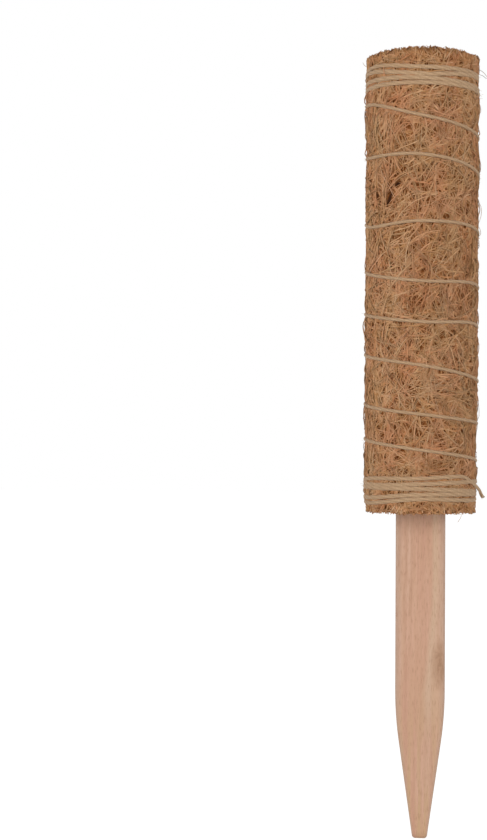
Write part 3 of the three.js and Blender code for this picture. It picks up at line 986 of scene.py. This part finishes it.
def ring_fibres(material):
    """Fibres that lie on the two ring faces at the ends of the roll."""
    rng = np.random.default_rng(RING_SEED)
    share = strand_share(END_STEPS)
    groups = []
    for level, outward, count in RING_ENDS:
        radius = np.sqrt(rng.uniform(MAT_INNER ** 2, MAT_RADIUS ** 2, (count, 1)))
        angle = rng.uniform(0, 2 * math.pi, (count, 1))
        heading = rng.uniform(0, 2 * math.pi, (count, 1)) + rng.normal(0, RING_BEND, (count, 1)) * share
        step = rng.uniform(*RING_LENGTH, (count, 1)) / (END_STEPS - 1)
        x = radius * np.cos(angle) + np.cumsum(np.cos(heading) * step, axis=1)
        y = radius * np.sin(angle) + np.cumsum(np.sin(heading) * step, axis=1)
        z = level + outward * (rng.uniform(*RING_DEPTH, (count, 1)) - END_DROP * (2 * share) ** 4)
        reach = np.hypot(x, y)
        inside = reach.max(axis=1) < MAT_RADIUS - RING_MARGIN
        outside = reach.min(axis=1) > MAT_INNER + RING_MARGIN
        groups.append(np.stack((x, y, z), axis=-1)[inside & outside])
    points = np.concatenate(groups)
    strands = len(points)
    radii = varied(rng, strands, *RING_RADIUS) * tapered(share, *END_TAPER)
    tones = varied(rng, strands, *RING_TONE)
    hues = varied(rng, strands, *RING_HUE)
    return coir_strands("coir_ring_fibre", points, radii, tones, hues, material, END_SIDES)


def rim_fibres(material):
    """Fibres cut off at each rim of the roll, more ragged at the bottom one."""
    rng = np.random.default_rng(RIM_SEED)
    share = strand_share(END_STEPS)
    groups = []
    for level, outward, count, ragged in RIM_ENDS:
        angle = rng.uniform(0, 2 * math.pi, (count, 1))
        lean = varied(rng, count, *RIM_LEAN)
        run = (share + 0.5) * rng.uniform(*RIM_LENGTH, (count, 1))
        end = rng.uniform(RIM_CUT_SHORT, ragged, (count, 1))
        end = end + RIM_STANDING * rng.uniform(0, 1, (count, 1)) ** 10
        height = level + outward * (end - run)
        flare = rng.uniform(0, RIM_FLARE, (count, 1)) * (0.5 - share) ** 2
        depth = rng.uniform(*RIM_DEPTH, (count, 1))
        turned = angle + np.tan(lean) * run / MAT_RADIUS
        out = mat_radius(turned, height) + depth + flare - END_DROP * (share + 0.5) ** 3
        groups.append(np.stack((out, turned, height), axis=-1))
    out, turned, height = np.moveaxis(np.concatenate(groups), -1, 0)
    strands = len(out)
    radii = varied(rng, strands, *RIM_RADIUS) * tapered(share, *END_TAPER)
    # Painted shade towards the top rim and around the needle holes
    shade = rim_painted_shade(height) + PIT_PAINTED_SHADE * pit_share(turned, height)
    middle, spread, least, most = RIM_TONE
    tones = np.clip(rng.normal(middle, spread, (strands, 1)) - shade, least, most)
    hues = varied(rng, strands, *RIM_HUE)
    points = on_pole(out, turned, height + rim_cut(turned, height))
    return coir_strands("coir_rim_fibre", points, radii, tones, hues, material, END_SIDES)


def stray_fibres(material):
    """The loose fibres that stand off the pole, each a smooth thin curve."""
    share = np.linspace(0, 1, STRAY_STEPS)
    curves = []
    for places in STRAY_FIBRES:
        across, forward, up = np.array(places).T * MM
        at = np.linspace(0, 1, len(places))
        curve = [smooth_curve(list(zip(at, values)), share) for values in (across, -forward, up)]
        curves.append(np.stack(curve, axis=-1))
    points = np.array(curves)
    values = (STRAY_RADIUS, STRAY_TONE, STRAY_HUE)
    radii, tones, hues = (np.full((len(points), 1), value) for value in values)
    return coir_strands("coir_stray_fibre", points, radii, tones, hues, material, END_SIDES)


# Twine
def twine_path():
    """The winding's points, from its start tucked under the top binding to its free tail."""
    first, last = STATIONS[0][0], STATIONS[-1][0]
    count = int((last - first) * 2 * math.pi * MAT_RADIUS / TWINE_STEP)
    turns = np.linspace(first, last, count)
    height = smooth_curve(STATIONS, turns) * MM
    angle = math.pi * (1 + 2 * turns)
    start, end = BACK_CROSSING
    tuck = TUCK_DEPTH * (1 - smooth_step(turns, first, TUCK_END))
    crossing = smooth_step(turns, start, start + CROSSING_RAMP)
    crossing = crossing * (1 - smooth_step(turns, end - CROSSING_RAMP, end))
    tail = np.clip((turns - TAIL_START) / (last - TAIL_START), 0, 1) ** 2
    lift = TWINE_SEAT - tuck + CROSSING_LIFT * crossing + TAIL_LIFT * tail
    return on_pole(mat_radius(angle, height) + lift, angle, height)


def twine_object(path, material):
    """Twisted yarn: a tube whose section has a lobe for each ply, turning along the twine."""
    along = unit(np.gradient(path, axis=0))
    outward = path * (1, 1, 0)
    outward = unit(outward - along * np.sum(outward * along, axis=1, keepdims=True))
    across = np.cross(along, outward)
    length = np.concatenate(([0], np.cumsum(np.linalg.norm(np.diff(path, axis=0), axis=1))))
    turns = 2 * math.pi * np.arange(TWINE_SIDES) / TWINE_SIDES
    lobe = np.cos(PLIES * (turns[None, :] - 2 * math.pi * length[:, None] / (PLIES * PLY_PITCH)))
    uneven = [noise.noise(Vector((place * YARN_LUMPS_PER_METRE, 0, 0))) for place in length]
    radius = TWINE_RADIUS * (1 + PLY_RELIEF * lobe + YARN_UNEVEN * np.array(uneven)[:, None])
    tail_start, tail_end = (length[-1] - left for left in TAIL_UNPRESSED)
    pressed = binding_share(path[:, 2]) * (1 - smooth_step(length, tail_start, tail_end))
    press = BINDING_PRESS * pressed[:, None, None]
    thin = np.cos(turns)[None, :, None] * outward[:, None, :] * (1 - press)
    wide = np.sin(turns)[None, :, None] * across[:, None, :] * (1 + press)
    vertices = path[:, None, :] + radius[:, :, None] * (thin + wide)
    rows = len(path)
    corners = list(range(TWINE_SIDES))
    ends = [corners[::-1], [(rows - 1) * TWINE_SIDES + corner for corner in corners]]
    made = new_object("twine_yarn", vertices.reshape(-1, 3), tube_faces(rows, TWINE_SIDES) + ends, material)
    point_value(made, "ply", (lobe + 1) / 2)
    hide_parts("twine")
    return dress(made)


def twine_fuzz(path, material):
    """Fine hairs of the yarn that stand off it, and the frayed end of its tail."""
    rng = np.random.default_rng(HAIR_SEED)
    share = np.linspace(0, 1, HAIR_STEPS)[None, :, None]
    frayed = slice(FRAYED_HAIRS)
    along = unit(np.gradient(path, axis=0))
    at = rng.integers(0, len(path), HAIRS)
    at[frayed] = len(path) - 1
    outward = unit(path[at] * (1, 1, 0))
    lean = unit(rng.normal(0, 1, (HAIRS, 3)) + 0.5 * outward)
    heading = unit(along[at] * rng.choice((-1.2, 1.2), (HAIRS, 1)) + 0.9 * lean)
    heading[frayed] = unit(along[at[frayed]] + 0.35 * lean[frayed])
    length = rng.uniform(*HAIR_LENGTH, (HAIRS, 1, 1))
    length[frayed] = rng.uniform(*FRAYED_LENGTH, (FRAYED_HAIRS, 1, 1))
    start = path[at] + 0.75 * TWINE_RADIUS * lean
    curl = rng.normal(0, 0.35, (HAIRS, 1, 3)) * length * share ** 2
    points = start[:, None, :] + heading[:, None, :] * length * share + curl
    radii = np.full((HAIRS, 1), HAIR_RADIUS)
    radii[frayed] = FRAYED_RADIUS
    values = {"ply": np.ones((HAIRS, 1))}
    return dress(strands_object("twine_fuzz", points, radii, values, material, FIBRE_SIDES))


# Scene
def make_camera():
    data = bpy.data.cameras.new("camera")
    data.sensor_width = SENSOR_SIZE
    data.lens = FOCAL_PIXELS * SENSOR_SIZE / IMAGE_HEIGHT
    camera = bpy.data.objects.new("camera", data)
    bpy.context.collection.objects.link(camera)
    level = Matrix.Rotation(math.pi / 2, 4, "X")
    turned = Matrix.Rotation(CAMERA_TURN, 4, "Z") @ level @ Matrix.Rotation(CAMERA_ROLL, 4, "Z")
    turned.translation = Vector(CAMERA_PLACE)
    camera.matrix_world = turned
    bpy.context.scene.camera = camera


def seen_share(tree):
    """1 for rays that show the background itself: straight from the camera, or by way of gloss or glass."""
    path = add(tree, "ShaderNodeLightPath")
    glossy = math_node(tree, "MAXIMUM", path.outputs["Is Glossy Ray"], path.outputs["Is Transmission Ray"])
    return math_node(tree, "MAXIMUM", path.outputs["Is Camera Ray"], glossy)


def mix_shaders(tree, share, first, second, output):
    """Send a mix of two shaders to an output node."""
    chosen = add(tree, "ShaderNodeMixShader", {0: share, 1: first.outputs[0], 2: second.outputs[0]})
    tree.links.new(chosen.outputs[0], output.inputs["Surface"])


def make_world():
    world = bpy.data.worlds.new("studio")
    bpy.context.scene.world = world
    world.use_nodes = True
    tree = world.node_tree
    tree.nodes.clear()
    lighting = add(tree, "ShaderNodeBackground", {"Color": WHITE, "Strength": WORLD_STRENGTH})
    shown = add(tree, "ShaderNodeBackground", {"Color": WHITE, "Strength": 1.0})
    mix_shaders(tree, seen_share(tree), lighting, shown, add(tree, "ShaderNodeOutputWorld"))


def make_floor():
    material, tree, shader = new_material("floor")
    shader.inputs["Base Color"].default_value = FLOOR_COLOUR
    shader.inputs["Roughness"].default_value = 0.9
    glow = add(tree, "ShaderNodeEmission", {"Color": WHITE, "Strength": FLOOR_GLOW})
    share = math_node(tree, "MULTIPLY", seen_share(tree), FLOOR_GLOW_SHARE)
    mix_shaders(tree, share, shader, glow, tree.nodes["Material Output"])
    half = FLOOR_SIZE / 2
    corners = [(x, y, STAKE_TIP) for x, y in ((-half, -half), (half, -half), (half, half), (-half, half))]
    new_object("floor", corners, [(0, 1, 2, 3)], material, smooth=False)


def make_lamp(name, place, size, power):
    data = bpy.data.lights.new(name, "AREA")
    data.size = size
    data.energy = power
    lamp = bpy.data.objects.new(name, data)
    lamp.location = place
    aim = Vector((0, 0, (MAT_TOP + STAKE_TIP) / 2)) - Vector(place)
    lamp.rotation_euler = aim.to_track_quat("-Z", "Y").to_euler()
    bpy.context.collection.objects.link(lamp)


bpy.context.scene.view_settings.view_transform = "Standard"
make_camera()
make_world()
make_floor()
make_lamp("key", *KEY_LAMP)
make_lamp("fill", *FILL_LAMP)

fibre = fibre_material("coir_fibre")
soften(fibre)
jute = jute_material()
coir_core(core_material())
for layer in FIBRE_LAYERS:
    fibre_layer(fibre, **layer)
ring_fibres(fibre_material("coir_ring"))
rim_fibres(fibre)
stray_fibres(fibre)
path = twine_path()
twine_object(path, jute)
twine_fuzz(path, jute)

steel = steel_material()
for node, material in (
    ("stake", wood_material()),
    ("core_tube", plastic_material()),
    ("stake_nail_left", steel),
    ("stake_nail_right", steel),
):
    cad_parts[node].data.materials.clear()
    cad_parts[node].data.materials.append(material)
